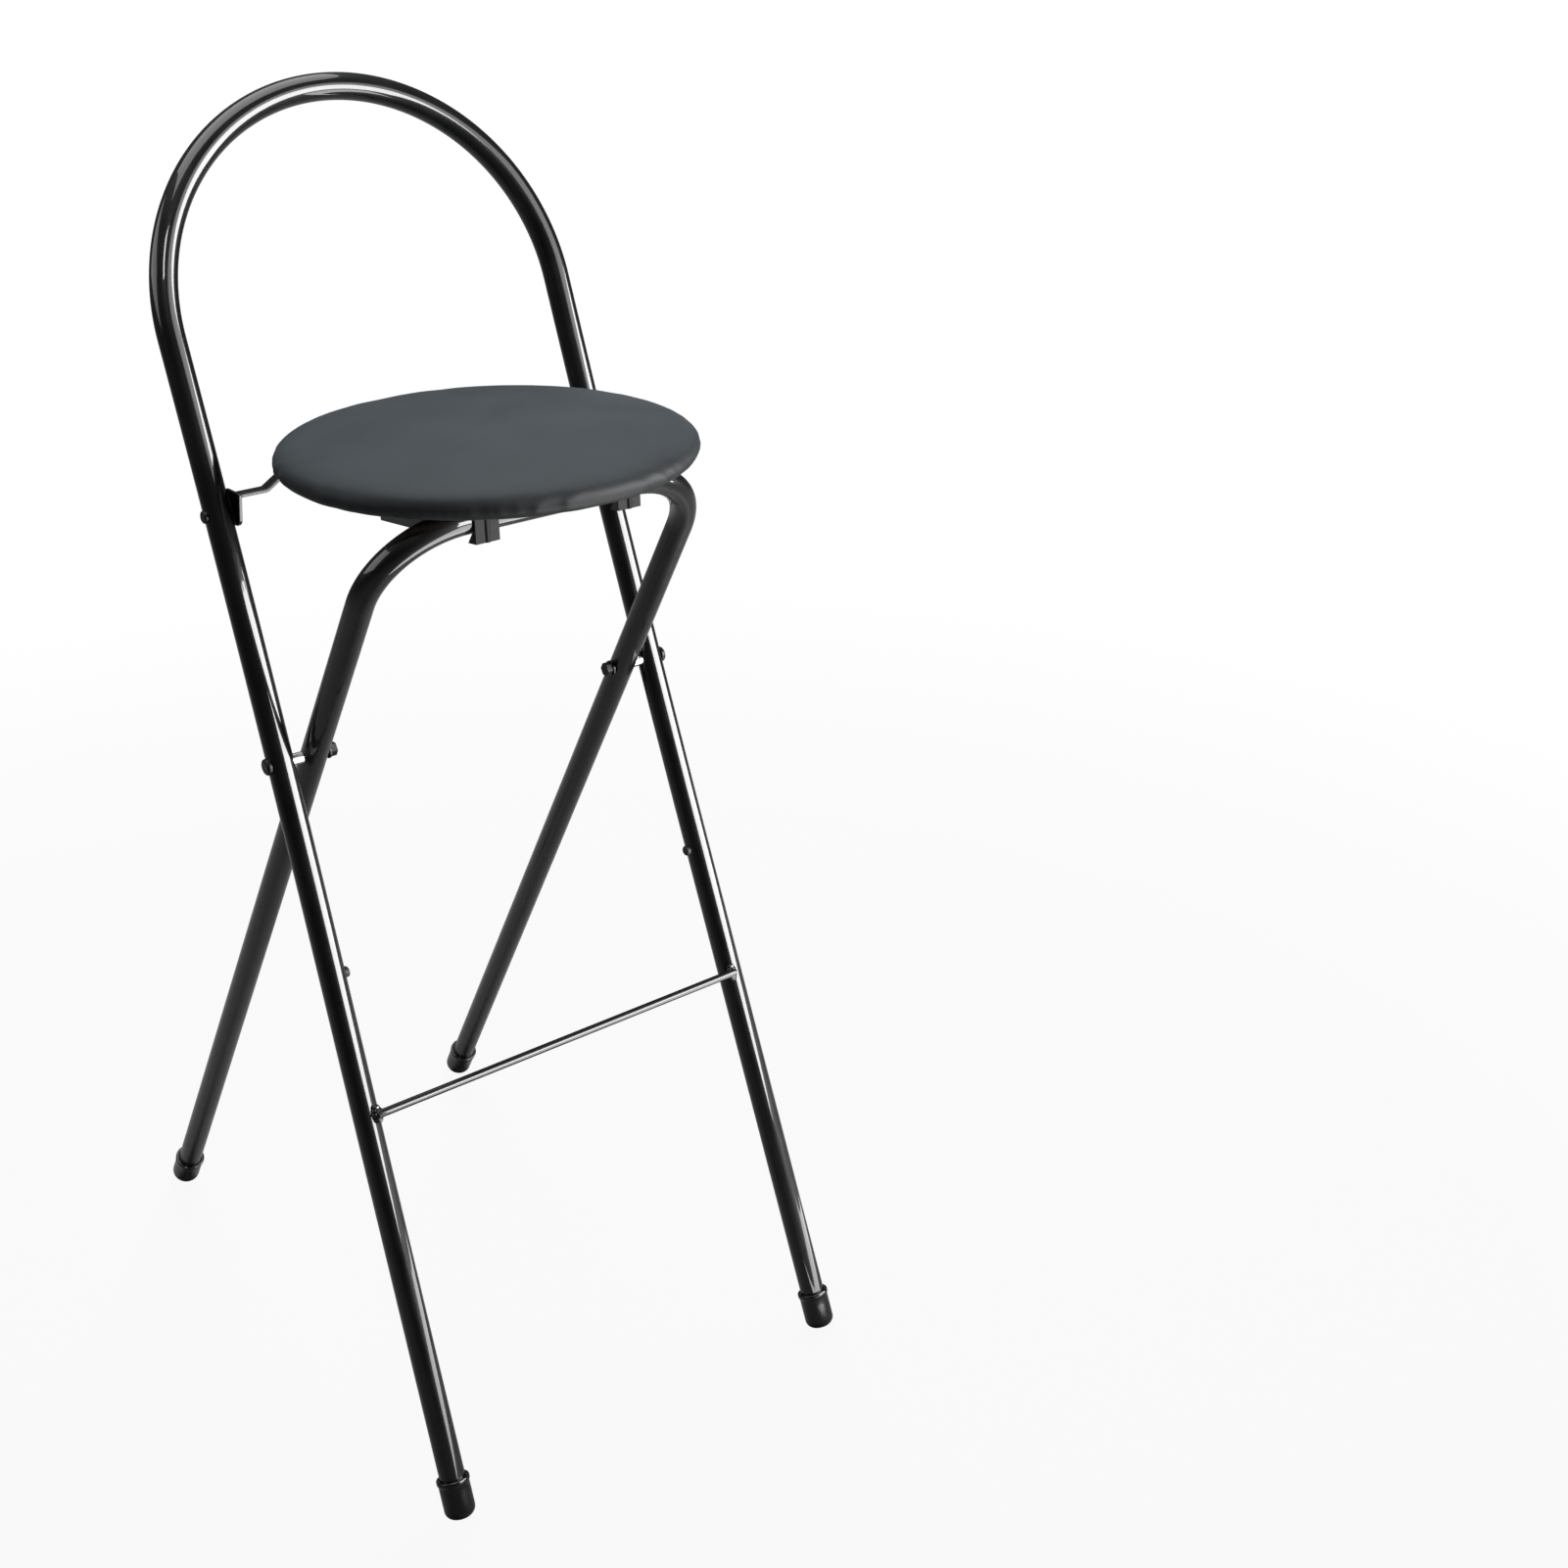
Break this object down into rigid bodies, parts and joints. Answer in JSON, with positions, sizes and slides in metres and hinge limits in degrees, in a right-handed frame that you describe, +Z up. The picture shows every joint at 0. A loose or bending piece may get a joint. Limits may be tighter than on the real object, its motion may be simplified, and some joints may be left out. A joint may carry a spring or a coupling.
{
  "type": "folding bar stool",
  "caption": "Tall folding stool with a round padded seat, a looped tube back, scissor legs, a footrest rod and capped feet.",
  "frame": {"origin": "bottom centre of the bounding box with the stool open, on the floor", "axes": "+Z up, -Y the way the sitter faces, X across the stool"},
  "size_m": [0.3648, 0.5392, 0.9624],
  "materials": {
    "frame_paint": "gloss black paint",
    "vinyl": "satin slate-grey vinyl",
    "plywood": "raw plywood",
    "hardware": "bright zinc plate",
    "cap_plastic": "glossy black plastic",
    "bumper_rubber": "matt black rubber"
  },
  "bodies": {
    "main_frame": {"main_frame_tube": "frame_paint", "footrest_rod": "frame_paint", "right_pivot_bolt": "hardware", "left_pivot_bolt": "hardware", "right_pivot_spacer": "hardware", "left_pivot_spacer": "hardware", "right_pivot_washer": "hardware", "left_pivot_washer": "hardware", "right_pivot_nut": "hardware", "left_pivot_nut": "hardware", "right_hinge_rivet": "hardware", "left_hinge_rivet": "hardware", "right_footrest_weld": "frame_paint", "left_footrest_weld": "frame_paint", "right_front_foot_cap": "cap_plastic", "left_front_foot_cap": "cap_plastic", "right_leg_bumper": "bumper_rubber", "left_leg_bumper": "bumper_rubber"},
    "rear_frame": {"rear_leg_tube": "frame_paint", "right_rear_foot_cap": "cap_plastic", "left_rear_foot_cap": "cap_plastic"},
    "seat": {"seat_pad": "vinyl", "seat_board": "plywood", "seat_hinge_strap": "frame_paint", "right_hinge_ear": "frame_paint", "left_hinge_ear": "frame_paint", "right_guide_rail": "frame_paint", "left_guide_rail": "frame_paint", "right_rear_rail_screw": "hardware", "left_rear_rail_screw": "hardware", "right_front_rail_screw": "hardware", "left_front_rail_screw": "hardware", "right_outer_strap_screw": "hardware", "left_outer_strap_screw": "hardware", "right_inner_strap_screw": "hardware", "left_inner_strap_screw": "hardware"}
  },
  "joints": [
    {"name": "leg_fold", "type": "hinge", "parent": "main_frame", "child": "rear_frame", "pos_m": [0, -0.06272, 0.53079], "axis": [-1, 0, 0], "range_deg": [0, 51]},
    {"name": "seat_fold", "type": "hinge", "parent": "main_frame", "child": "seat", "pos_m": [0, -0.00131, 0.69504], "axis": [-1, 0, 0], "range_deg": [0, 99.45]}
  ],
  "couplings": [
    {"joint": "seat_fold", "follows": "leg_fold", "ratio": 1.95}
  ]
}
